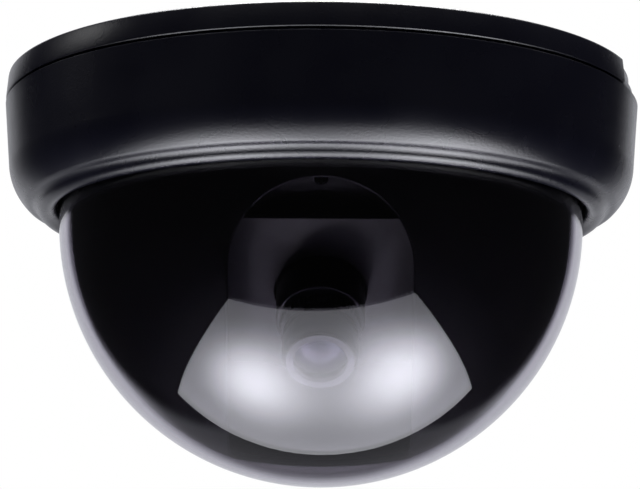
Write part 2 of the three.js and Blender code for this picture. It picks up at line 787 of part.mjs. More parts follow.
// A disc of glass with a bulging front, as far as its flat rim.
function bulgedGlass(radius, back, rim, bulge) {
  const steps = 6;
  const front = Array.from({ length: steps + 1 }, (_, i) => {
    const r = radius * (1 - i / steps);
    return [r, rim + bulge * (1 - (r / radius) ** 2)];
  });
  return turned([[0, back], [radius, back], ...front], 24);
}

add(optical, "lens_barrel", lensBarrel(), innerBlack);
add(optical, "front_glass", bulgedGlass(5.4, 19.6, 22, 1.6), glass);
add(optical, "rear_glass", bulgedGlass(3.9, 6.3, 7.6, 0.6), glass);
add(optical, "lens_front_ring", frontRing(), trimGrey);
add(optical, "lens_lock_ring", ring(6.1, 7.6, 14.6, 16.6), innerBlack);

export default camera;
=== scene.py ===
"""Black ceiling dome camera with a smoked dome, seen from just below its rim.

Metres, +Z up, origin at the centre of the ceiling face, lens towards -Y. The
outlines below are in millimetres and are scaled as each mesh is made.
"""

import json
import math

import bmesh
import bpy
from mathutils import Matrix, Vector


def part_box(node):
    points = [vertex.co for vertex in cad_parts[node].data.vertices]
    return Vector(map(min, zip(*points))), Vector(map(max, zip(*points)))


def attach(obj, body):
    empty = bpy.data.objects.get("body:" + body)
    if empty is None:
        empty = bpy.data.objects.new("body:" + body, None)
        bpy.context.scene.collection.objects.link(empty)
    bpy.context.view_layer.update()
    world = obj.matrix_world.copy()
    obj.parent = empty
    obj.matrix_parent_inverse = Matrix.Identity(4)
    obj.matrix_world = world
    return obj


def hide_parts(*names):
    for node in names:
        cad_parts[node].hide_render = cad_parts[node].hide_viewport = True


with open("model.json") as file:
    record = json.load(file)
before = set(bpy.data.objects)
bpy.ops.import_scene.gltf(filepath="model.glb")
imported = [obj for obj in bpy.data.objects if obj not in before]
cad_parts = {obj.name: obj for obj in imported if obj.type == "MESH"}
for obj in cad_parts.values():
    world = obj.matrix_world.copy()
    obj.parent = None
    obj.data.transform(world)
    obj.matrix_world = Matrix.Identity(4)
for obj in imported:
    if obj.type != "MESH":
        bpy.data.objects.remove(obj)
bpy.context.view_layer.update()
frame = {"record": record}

MM = 0.001
ROUND = 160  # segments round the housing
HAND = 72  # segments round hand-sized rings
SMALL = 32  # segments round screws
SHARP_ANGLE = math.radians(35)  # edges sharper than this shade as edges

# ---- places and sizes, millimetres, from the frame ----


def corner(node, which, axis):
    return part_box(node)[which]["xyz".index(axis)] / MM


HOUSING_RADIUS = corner("base_plate", 1, "y")
SPIGOT_LOW = corner("base_plate", 0, "z")
SEAL_LOW = corner("cover_seal", 0, "z")
SEAL_TOP = corner("cover_seal", 1, "z")
COVER_LOW = corner("cover_ring", 0, "z")
COVER_TOP = corner("cover_ring", 1, "z")
DOME_LOW = corner("dome_bubble", 0, "z")
FLANGE_TOP = corner("dome_bubble", 1, "z")
FLANGE_RADIUS = corner("dome_bubble", 1, "x")
GASKET_LOW = corner("dome_gasket", 0, "z")
GASKET_TOP = corner("dome_gasket", 1, "z")
CLAMP_LOW = corner("dome_clamp_ring", 0, "z")
CLAMP_TOP = corner("dome_clamp_ring", 1, "z")
TURNTABLE_LOW = corner("turntable", 0, "z")
TURNTABLE_TOP = corner("turntable", 1, "z")
LINER_RADIUS = corner("inner_liner", 1, "x")
LINER_TOP = corner("inner_liner", 1, "z")
ARM_OUTER_X = corner("bracket_arm_right", 1, "x")
ARM_FOOT_X = corner("bracket_arm_right", 0, "x")
ARM_TOP = corner("bracket_arm_right", 1, "z")
ARM_FOOT = 1.8  # thickness of the arm's foot
CRADLE_EAR_X = corner("tilt_cradle", 1, "x")
THUMB_END_X = corner("tilt_screw_right", 1, "x")

joints = {joint["name"]: joint for joint in frame["record"]["behaviour"]["joints"]}
bodies = frame["record"]["behaviour"]["bodies"]
BODY_OF = {node: body for body, nodes in bodies.items() for node in nodes}

PIVOT_Z = joints["tilt"]["pos_m"][2] / MM
OPTICAL_AXIS = Vector(joints["rotate"]["axis"])
LENS_PITCH = math.asin(-OPTICAL_AXIS.z)
OPTICAL = Matrix.Translation((0, 0, PIVOT_Z)) @ Matrix.Rotation(math.pi / 2 + LENS_PITCH, 4, "X")

GAP = 0.3  # clearance between neighbouring pieces
PLATE = 2.5  # thickness of the base plate
SEAM_Z = -4.7
MOUNT_RADIUS = 48.7  # circle of the ceiling screws' slots
MOUNT_ANGLES = [30, 150, 270]
MOUNT_SLOT = (10, 5)
CABLE_HOLE_Y = 42
CABLE_HOLE_RADIUS = 5.5
WALL = 2.4
DOME_RADIUS = 49.4
DOME_WALL = 2
DOME_CENTRE_Z = DOME_LOW + DOME_RADIUS
OPENING_RADIUS = 50
LEDGE_Z = -24.2
LINER_WALL = 1.5
LINER_FLANGE = 1.5
LINER_NECK_RADIUS = 44.5
LINER_NECK_LOW = -20
SLOT_HALF_WIDTH = 16.5
SLOT_START = math.radians(21.7)
SLOT_END = math.radians(87)
NOTCH_HALF_ANGLE = 21
NOTCH_RADIUS = 57.3
LUG_ANGLES = [90, 210, 330]
LUG_HALF_ANGLE = 7
LUG_TURN = 20
CLAMP_EAR_ANGLES = [90, 210, 330]
CLAMP_EAR_RADIUS = 53.6
SPOKE_ANGLES = [45, 135, 225, 315]
LINER_SCREW_RADIUS = 41
FOOT_SCREWS = [(x, y) for x in (-24, 24) for y in (-4, 4)]
CORNERS = [(-1, -1), (1, -1), (1, 1), (-1, 1)]

# ---- outlines ----


def arc(centre, size, start, end, steps):
    """Points on a round stretch, angles in degrees from +radius towards -Z."""
    points = []
    for i in range(steps + 1):
        angle = math.radians(start + (end - start) * i / steps)
        points.append((centre[0] + size * math.cos(angle), centre[1] - size * math.sin(angle)))
    return points


def rounded(outline, size, steps=3, closed=True):
    """The outline with its sharp corners turned into arcs; corners on the axis stay."""
    result = []
    count = len(outline)
    for i, here in enumerate(outline):
        before = Vector(outline[i - 1]) - Vector(here)
        after = Vector(outline[(i + 1) % count]) - Vector(here)
        end = not closed and i in (0, count - 1)
        sharp = before.length > 1e-6 and after.length > 1e-6 and before.angle(after) < math.radians(150)
        if here[0] < 1e-6 or end or not sharp:
            result.append(here)
            continue
        reach = min(size, before.length * 0.45, after.length * 0.45)
        start = Vector(here) + before.normalized() * reach
        stop = Vector(here) + after.normalized() * reach
        for k in range(steps + 1):
            t = k / steps
            point = start * (1 - t) ** 2 + Vector(here) * 2 * t * (1 - t) + stop * t**2
            result.append(tuple(point))
    return result


def box_outline(inner, outer, low, high):
    return [(inner, low), (outer, low), (outer, high), (inner, high)]


def sector_outline(inner, outer, start, end):
    """A piece of ring seen from above, angles in degrees from +X."""
    steps = max(3, int(abs(end - start) / 2))
    angles = [math.radians(start + (end - start) * i / steps) for i in range(steps + 1)]
    outside = [(outer * math.cos(a), outer * math.sin(a)) for a in angles]
    inside = [(inner * math.cos(a), inner * math.sin(a)) for a in reversed(angles)]
    return outside + inside


def circle(radius, segments, centre=(0, 0)):
    angles = [2 * math.pi * i / segments for i in range(segments)]
    return [(centre[0] + radius * math.cos(a), centre[1] + radius * math.sin(a)) for a in angles]


def rectangle(width, height, centre=(0, 0)):
    x, y = centre
    return [
        (x - width / 2, y - height / 2),
        (x + width / 2, y - height / 2),
        (x + width / 2, y + height / 2),
        (x - width / 2, y + height / 2),
    ]


# ---- meshes ----


def shade(mesh):
    """Smooth shading that breaks at sharp edges."""
    mesh.shade_smooth()
    mesh.set_sharp_from_angle(angle=SHARP_ANGLE)


def finish_mesh(grid, name):
    """Turns a bmesh in millimetres into a smooth-shaded mesh in metres."""
    bmesh.ops.scale(grid, vec=(MM, MM, MM), verts=grid.verts)
    bmesh.ops.recalc_face_normals(grid, faces=grid.faces)
    mesh = bpy.data.meshes.new(name)
    grid.to_mesh(mesh)
    grid.free()
    shade(mesh)
    return mesh


def spin(grid, outline, segments, angle_wave=None):
    """Turns an outline of (radius, z) about Z; angle_wave changes the radius round the turn."""
    rows = []
    for radius, height in outline:
        if radius < 1e-6:
            rows.append([grid.verts.new((0, 0, height))])
            continue
        row = []
        for i in range(segments):
            angle = 2 * math.pi * i / segments
            r = radius + (angle_wave(angle, radius) if angle_wave else 0)
            row.append(grid.verts.new((r * math.cos(angle), r * math.sin(angle), height)))
        rows.append(row)
    pairs = list(zip(rows, rows[1:] + rows[:1]))
    if len(rows[0]) == 1 and len(rows[-1]) == 1:
        pairs.pop()
    for low, high in pairs:
        for i in range(segments):
            j = (i + 1) % segments
            ring = [low[i % len(low)], low[j % len(low)], high[j % len(high)], high[i % len(high)]]
            corners = list(dict.fromkeys(ring))
            if len(corners) > 2:
                grid.faces.new(corners)


def turned(outline, segments=HAND, angle_wave=None):
    grid = bmesh.new()
    spin(grid, outline, segments, angle_wave)
    return finish_mesh(grid, "turned")


def prism(outline, low, high):
    """An outline in x and y, raised from low to high."""
    grid = bmesh.new()
    bottom = [grid.verts.new((x, y, low)) for x, y in outline]
    top = [grid.verts.new((x, y, high)) for x, y in outline]
    grid.faces.new(bottom)
    grid.faces.new(top)
    for i in range(len(outline)):
        j = (i + 1) % len(outline)
        grid.faces.new((bottom[i], bottom[j], top[j], top[i]))
    return finish_mesh(grid, "prism")


def object_of(mesh, name):
    piece = bpy.data.objects.new(name, mesh)
    bpy.context.scene.collection.objects.link(piece)
    return piece


def bake(piece):
    """Applies the piece's modifiers to its mesh."""
    depsgraph = bpy.context.evaluated_depsgraph_get()
    mesh = bpy.data.meshes.new_from_object(piece.evaluated_get(depsgraph))
    piece.modifiers.clear()
    piece.data = mesh
    shade(mesh)
    return piece


def carve(mesh, cutters):
    """The mesh with other meshes cut out of it."""
    piece = object_of(mesh, "work")
    tools = [object_of(cutter, "tool") for cutter in cutters]
    for tool in tools:
        step = piece.modifiers.new("step", "BOOLEAN")
        step.operation = "DIFFERENCE"
        step.solver = "EXACT"
        step.object = tool
    result = bake(piece).data
    for spent in [piece, *tools]:
        bpy.data.objects.remove(spent)
    return result


def softened(mesh, width):
    """The mesh with its sharp edges rounded, width in millimetres."""
    piece = object_of(mesh, "work")
    step = piece.modifiers.new("round", "BEVEL")
    step.width = width * MM
    step.segments = 3
    step.limit_method = "ANGLE"
    step.angle_limit = math.radians(40)
    result = bake(piece).data
    bpy.data.objects.remove(piece)
    return result


def moved(mesh, matrix):
    """A copy of the mesh, moved by a matrix whose lengths are millimetres."""
    copy = mesh.copy()
    placed = matrix.copy()
    placed.translation = placed.translation * MM
    copy.transform(placed)
    return copy


def shift(x=0, y=0, z=0):
    return Matrix.Translation((x, y, z))


def around(radius, angle):
    turn = math.radians(angle)
    return shift(radius * math.cos(turn), radius * math.sin(turn))


def joined(*meshes):
    grid = bmesh.new()
    for mesh in meshes:
        grid.from_mesh(mesh)
    result = bpy.data.meshes.new("joined")
    grid.to_mesh(result)
    grid.free()
    shade(result)
    return result


ALONG_X = Matrix.Rotation(math.pi / 2, 4, "Y")
HALF_TURN = Matrix.Rotation(math.pi, 4, "Z")
UPSIDE_DOWN = Matrix.Rotation(math.pi, 4, "X")

# ---- materials ----


def node_material(name):
    material = bpy.data.materials.new(name)
    material.use_nodes = True
    nodes = material.node_tree.nodes
    links = material.node_tree.links
    shader = nodes["Principled BSDF"]
    place = nodes.new("ShaderNodeTexCoord")
    return material, nodes, links, shader, place.outputs["Object"]


def calculate(nodes, links, operation, first, second):
    """The result of a sum, where each term is a number or another node's output."""
    node = nodes.new("ShaderNodeMath")
    node.operation = operation
    for socket, term in zip(node.inputs, (first, second)):
        if isinstance(term, (int, float)):
            socket.default_value = term
        else:
            links.new(term, socket)
    return node.outputs["Value"]


def noise(nodes, links, place, scale, detail=3, roughness=0.5):
    texture = nodes.new("ShaderNodeTexNoise")
    texture.inputs["Scale"].default_value = scale
    texture.inputs["Detail"].default_value = detail
    texture.inputs["Roughness"].default_value = roughness
    links.new(place, texture.inputs["Vector"])
    return texture.outputs["Fac"]


def ranged(nodes, links, value, low, high, start=0.3, stop=0.7):
    """Maps a noise value onto a range."""
    remap = nodes.new("ShaderNodeMapRange")
    remap.inputs["From Min"].default_value = start
    remap.inputs["From Max"].default_value = stop
    remap.inputs["To Min"].default_value = low
    remap.inputs["To Max"].default_value = high
    links.new(value, remap.inputs["Value"])
    return remap.outputs["Result"]


def blended(nodes, links, factor, first, second):
    """A colour between two, by a factor."""
    mix = nodes.new("ShaderNodeMix")
    mix.data_type = "RGBA"
    mix.inputs["A"].default_value = (*first, 1)
    mix.inputs["B"].default_value = (*second, 1)
    links.new(factor, mix.inputs["Factor"])
    return mix.outputs["Result"]


def bump(nodes, links, shader, height, depth):
    """Raises the surface by a height value, depth in millimetres."""
    relief = nodes.new("ShaderNodeBump")
    relief.inputs["Strength"].default_value = 1.0
    relief.inputs["Distance"].default_value = depth * MM
    links.new(height, relief.inputs["Height"])
    links.new(relief.outputs["Normal"], shader.inputs["Normal"])


def moulded(name, color, paler, roughness, grain, depth):
    """Moulded plastic: a spark-eroded grain, patchy sheen and faint flow marks."""
    material, nodes, links, shader, place = node_material(name)
    patches = noise(nodes, links, place, 60, detail=4)
    links.new(
        blended(nodes, links, ranged(nodes, links, patches, 0, 1), color, paler),
        shader.inputs["Base Color"],
    )
    links.new(
        ranged(nodes, links, patches, roughness - 0.04, roughness + 0.05),
        shader.inputs["Roughness"],
    )
    bump(nodes, links, shader, noise(nodes, links, place, grain, detail=2, roughness=0.6), depth)
    return material


def worn_metal(name, color, darker, roughness):
    """Plated metal: fine scratches and duller patches."""
    material, nodes, links, shader, place = node_material(name)
    shader.inputs["Metallic"].default_value = 1.0
    patches = noise(nodes, links, place, 250, detail=5)
    links.new(
        blended(nodes, links, ranged(nodes, links, patches, 0, 1), color, darker),
        shader.inputs["Base Color"],
    )
    links.new(
        ranged(nodes, links, patches, roughness, roughness + 0.15),
        shader.inputs["Roughness"],
    )
    scratches = noise(nodes, links, place, 900, detail=6, roughness=0.7)
    bump(nodes, links, shader, scratches, 0.01)
    return material


def smoked_material():
    material, nodes, links, shader, place = node_material("smoked_polycarbonate")
    shader.inputs["Transmission Weight"].default_value = 1.0
    shader.inputs["IOR"].default_value = 1.55
    haze = noise(nodes, links, place, 45, detail=2)
    links.new(
        blended(
            nodes,
            links,
            ranged(nodes, links, haze, 0, 1),
            (0.36, 0.34, 0.4),
            (0.4, 0.38, 0.44),
        ),
        shader.inputs["Base Color"],
    )
    links.new(ranged(nodes, links, haze, 0.0, 0.012), shader.inputs["Roughness"])
    return material


def lens_glass(name, tint, coating):
    """Coated optical glass, with the coating's colour drifting across it."""
    material, nodes, links, shader, place = node_material(name)
    shader.inputs["Transmission Weight"].default_value = 0.7
    shader.inputs["IOR"].default_value = 1.7
    shader.inputs["Roughness"].default_value = 0.02
    drift = noise(nodes, links, place, 120, detail=1)
    links.new(
        blended(nodes, links, ranged(nodes, links, drift, 0, 1), tint, coating),
        shader.inputs["Base Color"],
    )
    return material


def circuit_board_material():
    """Solder mask over copper tracks, its gloss varying in patches."""
    material, nodes, links, shader, place = node_material("solder_mask")
    tracks = nodes.new("ShaderNodeTexBrick")
    tracks.inputs["Scale"].default_value = 420
    tracks.inputs["Mortar Size"].default_value = 0.018
    tracks.inputs["Color1"].default_value = (0.012, 0.055, 0.028, 1)
    tracks.inputs["Color2"].default_value = (0.015, 0.07, 0.035, 1)
    tracks.inputs["Mortar"].default_value = (0.03, 0.14, 0.07, 1)
    links.new(place, tracks.inputs["Vector"])
    links.new(tracks.outputs["Color"], shader.inputs["Base Color"])
    mask = noise(nodes, links, place, 300)
    links.new(ranged(nodes, links, mask, 0.25, 0.4), shader.inputs["Roughness"])
    bump(nodes, links, shader, tracks.outputs["Fac"], 0.02)
    return material


HOUSING = moulded("housing_abs", (0.0012, 0.0012, 0.0035), (0.002, 0.002, 0.005), 0.27, 2600, 0.035)
LINER = moulded("liner_abs", (0.0008, 0.0008, 0.0014), (0.0012, 0.0012, 0.002), 0.5, 1800, 0.02)
MECHANISM = moulded("mechanism_abs", (0.003, 0.003, 0.004), (0.005, 0.005, 0.0065), 0.5, 1500, 0.02)
MODULE = moulded("module_abs", (0.012, 0.0105, 0.015), (0.014, 0.0125, 0.018), 0.5, 1600, 0.02)
LENS_BLACK = moulded("lens_anodised", (0.006, 0.006, 0.007), (0.01, 0.01, 0.012), 0.35, 2600, 0.01)
RING_GREY = moulded("ring_satin", (0.15, 0.15, 0.16), (0.18, 0.18, 0.19), 0.4, 2600, 0.01)
RUBBER = moulded("seal_rubber", (0.014, 0.014, 0.015), (0.022, 0.022, 0.023), 0.8, 900, 0.04)
NYLON = moulded("header_nylon", (0.62, 0.6, 0.52), (0.7, 0.68, 0.6), 0.45, 1200, 0.01)
CHIP = moulded("chip_epoxy", (0.012, 0.012, 0.013), (0.02, 0.02, 0.021), 0.5, 3000, 0.01)
SLEEVE = moulded("capacitor_sleeve", (0.012, 0.018, 0.06), (0.018, 0.026, 0.08), 0.3, 700, 0.01)
BLACK_STEEL = worn_metal("black_oxide_steel", (0.012, 0.012, 0.014), (0.006, 0.006, 0.008), 0.5)
STEEL = worn_metal("plated_steel", (0.62, 0.62, 0.64), (0.48, 0.48, 0.5), 0.25)
BRASS = worn_metal("turned_brass", (0.75, 0.58, 0.3), (0.6, 0.44, 0.2), 0.28)
SMOKE = smoked_material()
GLASS = lens_glass("coated_glass", (0.3, 0.26, 0.42), (0.2, 0.3, 0.4))
FILTER = lens_glass("filter_glass", (0.45, 0.2, 0.25), (0.3, 0.3, 0.5))
BOARD = circuit_board_material()

# ---- placing pieces ----

pieces_on = {body: [] for body in bodies}


def show(mesh, name, material, body):
    """Adds a piece, made where it stands at rest, and lets it ride on a body."""
    piece = object_of(mesh, name)
    mesh.materials.clear()
    mesh.materials.append(material)
    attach(piece, body)
    pieces_on[body].append(piece)
    return piece


def stand_in(mesh, node, material, matrix=None):
    """A detailed piece that takes the place of a CAD node."""
    placed = moved(mesh, matrix) if matrix is not None else mesh
    piece = show(placed, f"{node}_detail", material, BODY_OF[node])
    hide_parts(node)
    return piece


def beside(mesh, name, node, material, matrix=None):
    """A piece of detail that goes with a CAD node's body."""
    placed = moved(mesh, matrix) if matrix is not None else mesh
    return show(placed, name, material, BODY_OF[node])


# ---- screws ----


def screw(head_radius, head_height, shaft_radius, length):
    """A pan-head screw: shaft up +Z from z = 0, head below, with a cross recess."""
    dome = head_height * 0.45
    outline = [
        (0, -head_height),
        (head_radius * 0.55, -head_height),
        (head_radius * 0.88, -head_height + dome * 0.45),
        (head_radius, -head_height + dome),
        (head_radius, -0.05),
        (head_radius - 0.08, 0),
        (shaft_radius, 0),
    ]
    turns = max(3, int(length / 0.45))
    for i in range(turns):
        step = length * 0.9 / turns
        start = 0.1 + i * step
        outline.append((shaft_radius, start))
        outline.append((shaft_radius * 0.82, start + step / 2))
    outline += [(shaft_radius * 0.8, length * 0.95), (0, length)]
    body = turned(outline, SMALL)
    arm = head_radius * 1.05
    thin = head_radius * 0.24
    depth = -head_height * 0.45
    cross = [
        prism(rectangle(arm, thin), -head_height - 1, depth),
        prism(rectangle(thin, arm), -head_height - 1, depth),
    ]
    return carve(body, cross)


# ---- base body ----


def base_plate():
    rim_inner = HOUSING_RADIUS - WALL - 0.3
    top_radius = HOUSING_RADIUS - 0.45
    outline = rounded(
        [
            (0, -PLATE),
            (17.5, -PLATE),
            (18, -4.6),
            (20, -4.6),
            (20.5, -PLATE),
            (53, -PLATE),
            (53, SPIGOT_LOW),
            (55, SPIGOT_LOW),
            (55, -PLATE),
            (rim_inner, -PLATE),
            (rim_inner, SEAM_Z),
            (HOUSING_RADIUS, SEAM_Z),
            (top_radius, 0),
            (0, 0),
        ],
        0.45,
    )
    plate = turned(outline, ROUND)
    cutters = []
    for angle in MOUNT_ANGLES:
        turn = math.radians(angle)
        x = MOUNT_RADIUS * math.cos(turn)
        y = MOUNT_RADIUS * math.sin(turn)
        size = MOUNT_SLOT if angle == 270 else MOUNT_SLOT[::-1]
        outline = rounded(rectangle(*size, (x, y)), 2.4, steps=8)
        cutters.append(prism(outline, -4, 1))
    cutters.append(prism(circle(CABLE_HOLE_RADIUS, HAND, (0, CABLE_HOLE_Y)), -4, 1))
    half = NOTCH_HALF_ANGLE
    cutters.append(prism(sector_outline(NOTCH_RADIUS - GAP, 62, -half, half), SEAM_Z - 1, 1))
    cutters.append(prism(sector_outline(52, 56, -8, 8), -7.5, -PLATE))
    plate = carve(plate, cutters)
    post = turned(rounded([(0, -2), (0, TURNTABLE_LOW), (4, TURNTABLE_LOW), (4, -2)], 0.3), HAND)
    lugs = []
    for angle in LUG_ANGLES:
        outline = sector_outline(54.6, 56.2, angle - LUG_HALF_ANGLE, angle + LUG_HALF_ANGLE)
        lugs.append(softened(prism(outline, -10.8, -8.8), 0.25))
    ribs = []
    for i in range(12):
        rib = softened(prism(rectangle(30, 1.2, (36.5, 0)), -3.4, -PLATE + 0.2), 0.2)
        ribs.append(moved(rib, Matrix.Rotation(math.radians(15 + 30 * i), 4, "Z")))
    return joined(plate, post, *lugs, *ribs)


def notch_plug():
    half = NOTCH_HALF_ANGLE - 0.4
    foot = SEAM_Z + GAP
    top = -0.3
    raised = NOTCH_RADIUS + 0.5
    parts = [
        prism(sector_outline(NOTCH_RADIUS, NOTCH_RADIUS + 1, -half, half), foot, top),
        prism(sector_outline(raised, NOTCH_RADIUS + 1.7, -half, half), foot, foot + 1.4),
    ]
    for start in (-half, half - 2):
        rib = sector_outline(raised, NOTCH_RADIUS + 1.5, start, start + 2)
        parts.append(prism(rib, foot, top))
    return joined(*[softened(part, 0.18) for part in parts])


def grommet():
    outline = [(3.3, -4.1), (7.5, -4.1), (7.5, -2.8), (5.2, -2.8), (5.2, -0.4), (3.3, -0.4)]
    return turned(rounded(outline, 0.6, steps=5), HAND)


def pan_washer():
    low = TURNTABLE_LOW - 0.9
    high = TURNTABLE_LOW - GAP
    return turned(rounded(box_outline(2.2, 7.5, low, high), 0.15), HAND)


stand_in(base_plate(), "base_plate", HOUSING)
stand_in(notch_plug(), "cable_notch_plug", HOUSING)
stand_in(grommet(), "cable_grommet", RUBBER, shift(y=CABLE_HOLE_Y))
stand_in(pan_washer(), "pan_washer", BRASS)
pan_seat = TURNTABLE_LOW - 1.2
stand_in(screw(6, 2, 1.5, 4), "pan_screw", STEEL, shift(z=pan_seat))

# ---- cover ----


def cover_ring():
    wall_foot = (59.07, -17.0)
    shoulder = 10.4
    lip = 1.9
    outer_top = [(HOUSING_RADIUS - 0.45, COVER_TOP), (HOUSING_RADIUS, COVER_TOP - 0.35)]
    shoulder_arc = arc((wall_foot[0] - shoulder, -16.5), shoulder, 2.7, 46.5, 26)
    valley = [(55.25, -24.29), (54.75, -24.34), (54.3, -24.52)]
    lip_arc = arc((OPENING_RADIUS + lip, COVER_LOW + lip), lip, 20, 180, 24)
    inside = [
        (OPENING_RADIUS, LEDGE_Z),
        (53.2, LEDGE_Z),
        (53.6, -22),
        (55.2, -20.4),
        (56.5, -17.5),
        (HOUSING_RADIUS - WALL, COVER_TOP),
    ]
    shell = turned(outer_top + shoulder_arc + valley + lip_arc + inside, 2 * ROUND)
    lugs = []
    for angle in LUG_ANGLES:
        start = angle + LUG_TURN - LUG_HALF_ANGLE
        outline = sector_outline(55.4, HOUSING_RADIUS - WALL + 0.3, start, start + 2 * LUG_HALF_ANGLE)
        lugs.append(softened(prism(outline, -8.5, -6.5), 0.25))
    bosses = []
    for angle in CLAMP_EAR_ANGLES:
        boss = turned(rounded(box_outline(1.2, 2.1, CLAMP_LOW, -18.3), 0.2), SMALL)
        bosses.append(moved(boss, around(CLAMP_EAR_RADIUS, angle)))
    return joined(shell, *lugs, *bosses)


def dome_bubble():
    inner = DOME_RADIUS - DOME_WALL
    centre = (0, DOME_CENTRE_Z)
    outer_curve = arc(centre, DOME_RADIUS, 90, 0, 56)
    inner_curve = arc(centre, inner, 0, 90, 56)
    outer_curve[0] = (0, outer_curve[0][1])
    inner_curve[-1] = (0, inner_curve[-1][1])
    flange_low = GASKET_TOP + GAP
    flange = rounded(
        [
            outer_curve[-1],
            (DOME_RADIUS, flange_low),
            (FLANGE_RADIUS, flange_low),
            (FLANGE_RADIUS, FLANGE_TOP),
            (inner, FLANGE_TOP),
            inner_curve[0],
        ],
        0.4,
        closed=False,
    )
    return turned(outer_curve[:-1] + flange + inner_curve[1:], ROUND)


def clamp_ring():
    band = turned(rounded(box_outline(48.2, 51.2, CLAMP_LOW, CLAMP_TOP), 0.4), ROUND)
    ears = []
    for angle in CLAMP_EAR_ANGLES:
        ear = turned(rounded(box_outline(1.4, 2.2, -18, CLAMP_TOP), 0.2), SMALL)
        ears.append(moved(ear, around(CLAMP_EAR_RADIUS, angle)))
        web = prism(sector_outline(50.8, 52.3, angle - 2.2, angle + 2.2), -18, CLAMP_TOP - 0.1)
        ears.append(softened(web, 0.15))
    return joined(band, *ears)


seal_outline = rounded(box_outline(56.4, 57.1, SEAL_LOW, SEAL_TOP), 0.3)
gasket_outline = rounded(box_outline(50.3, 52.9, GASKET_LOW, GASKET_TOP), 0.2)
stand_in(turned(seal_outline, ROUND), "cover_seal", RUBBER)
stand_in(cover_ring(), "cover_ring", HOUSING)
stand_in(turned(gasket_outline, ROUND), "dome_gasket", RUBBER)
stand_in(dome_bubble(), "dome_bubble", SMOKE)
stand_in(clamp_ring(), "dome_clamp_ring", MECHANISM)
clamp_screw = moved(screw(2, 1.4, 0.9, 4), UPSIDE_DOWN)
for i, angle in enumerate(CLAMP_EAR_ANGLES):
    seat = around(CLAMP_EAR_RADIUS, angle) @ shift(z=CLAMP_TOP + GAP)
    stand_in(clamp_screw, f"clamp_screw_{i + 1}", BLACK_STEEL, seat)

# ---- pan body ----


def turntable():
    plate = turned(rounded(box_outline(4.3, 33, TURNTABLE_LOW, TURNTABLE_TOP), 0.35), ROUND)
    spokes = []
    for angle in SPOKE_ANGLES:
        outline = rounded(rectangle(10.5, 9, (37.2, 0)), 1.5, steps=5)
        spoke = softened(prism(outline, TURNTABLE_LOW, TURNTABLE_TOP), 0.3)
        spokes.append(moved(spoke, Matrix.Rotation(math.radians(angle), 4, "Z")))
    hub = turned(rounded(box_outline(4.3, 9, TURNTABLE_LOW - 0.25, TURNTABLE_LOW + 0.3), 0.2), HAND)
    return joined(plate, hub, *spokes)


def bracket_arm():
    inner_x = ARM_OUTER_X - 2
    foot_low = ARM_TOP - ARM_FOOT
    half = 7
    steps = 24
    outline = [(-half, ARM_TOP), (-half, PIVOT_Z)]
    for i in range(1, steps):
        angle = math.pi * i / steps
        outline.append((-half * math.cos(angle), PIVOT_Z - half * math.sin(angle)))
    outline += [(half, PIVOT_Z), (half, ARM_TOP)]
    upright = prism(outline, inner_x, ARM_OUTER_X)
    # The outline is drawn with y and z as its x and y; this turn puts it upright.
    upright.transform(Matrix(((0, 0, 1, 0), (1, 0, 0, 0), (0, 1, 0, 0), (0, 0, 0, 1))))
    hole = moved(prism(circle(1.8, SMALL), -5, 5), shift(ARM_OUTER_X - 1, 0, PIVOT_Z) @ ALONG_X)
    upright = softened(carve(upright, [hole]), 0.25)
    width = ARM_OUTER_X - ARM_FOOT_X
    foot_outline = rounded(rectangle(width, 2 * half, (ARM_FOOT_X + width / 2, 0)), 1.2)
    foot = prism(foot_outline, foot_low, ARM_TOP)
    on_this_side = [place for place in FOOT_SCREWS if place[0] > 0]
    holes = [prism(circle(1.3, SMALL, place), foot_low - 1, ARM_TOP + 1) for place in on_this_side]
    foot = softened(carve(foot, holes), 0.2)
    gusset_x = inner_x + 0.1
    gusset_top = foot_low + 0.1
    corners = [(inner_x - 4, gusset_top), (gusset_x, gusset_top), (gusset_x, foot_low - 5)]
    gusset = prism(corners, -0.7, 0.7)
    gusset.transform(Matrix(((1, 0, 0, 0), (0, 0, 1, 0), (0, 1, 0, 0), (0, 0, 0, 1))))
    gussets = [moved(softened(gusset, 0.1), shift(y=y)) for y in (-5.5, 5.5)]
    return joined(upright, foot, *gussets)


def slot_point(pitch, radius, across, along=0.0):
    """A point of the liner's slot: out along a pitch, across the slot and along it."""
    out = Vector((0, -math.cos(pitch), -math.sin(pitch)))
    back = Vector((0, -math.sin(pitch), math.cos(pitch)))
    reach = math.sqrt(radius**2 - SLOT_HALF_WIDTH**2)
    return Vector((across, 0, DOME_CENTRE_Z)) + out * reach + back * along


def slot_path(radius):
    """The closed edge of the slot on a sphere of that radius."""
    points = []
    steps = 40
    half = SLOT_HALF_WIDTH
    ends = ((SLOT_START, SLOT_END, 0), (SLOT_END, SLOT_START, math.pi))
    for here, there, turn in ends:
        for i in range(steps + 1):
            angle = turn + math.pi * i / steps
            points.append(slot_point(here, radius, half * math.cos(angle), half * math.sin(angle)))
        side = -half if turn == 0 else half
        for i in range(1, steps):
            points.append(slot_point(here + (there - here) * i / steps, radius, side))
    return points


def swept(path, radius, sides=12):
    """A round bead along a closed path."""
    grid = bmesh.new()
    rows = []
    centre = sum(path, Vector()) / len(path)
    for i, here in enumerate(path):
        along = (path[(i + 1) % len(path)] - path[i - 1]).normalized()
        side = along.cross(here - centre).normalized()
        up = side.cross(along)
        row = []
        for k in range(sides):
            angle = 2 * math.pi * k / sides
            row.append(grid.verts.new(here + (side * math.cos(angle) + up * math.sin(angle)) * radius))
        rows.append(row)
    for row, following in zip(rows, rows[1:] + rows[:1]):
        for k in range(sides):
            n = (k + 1) % sides
            grid.faces.new((row[k], row[n], following[n], following[k]))
    return finish_mesh(grid, "bead")


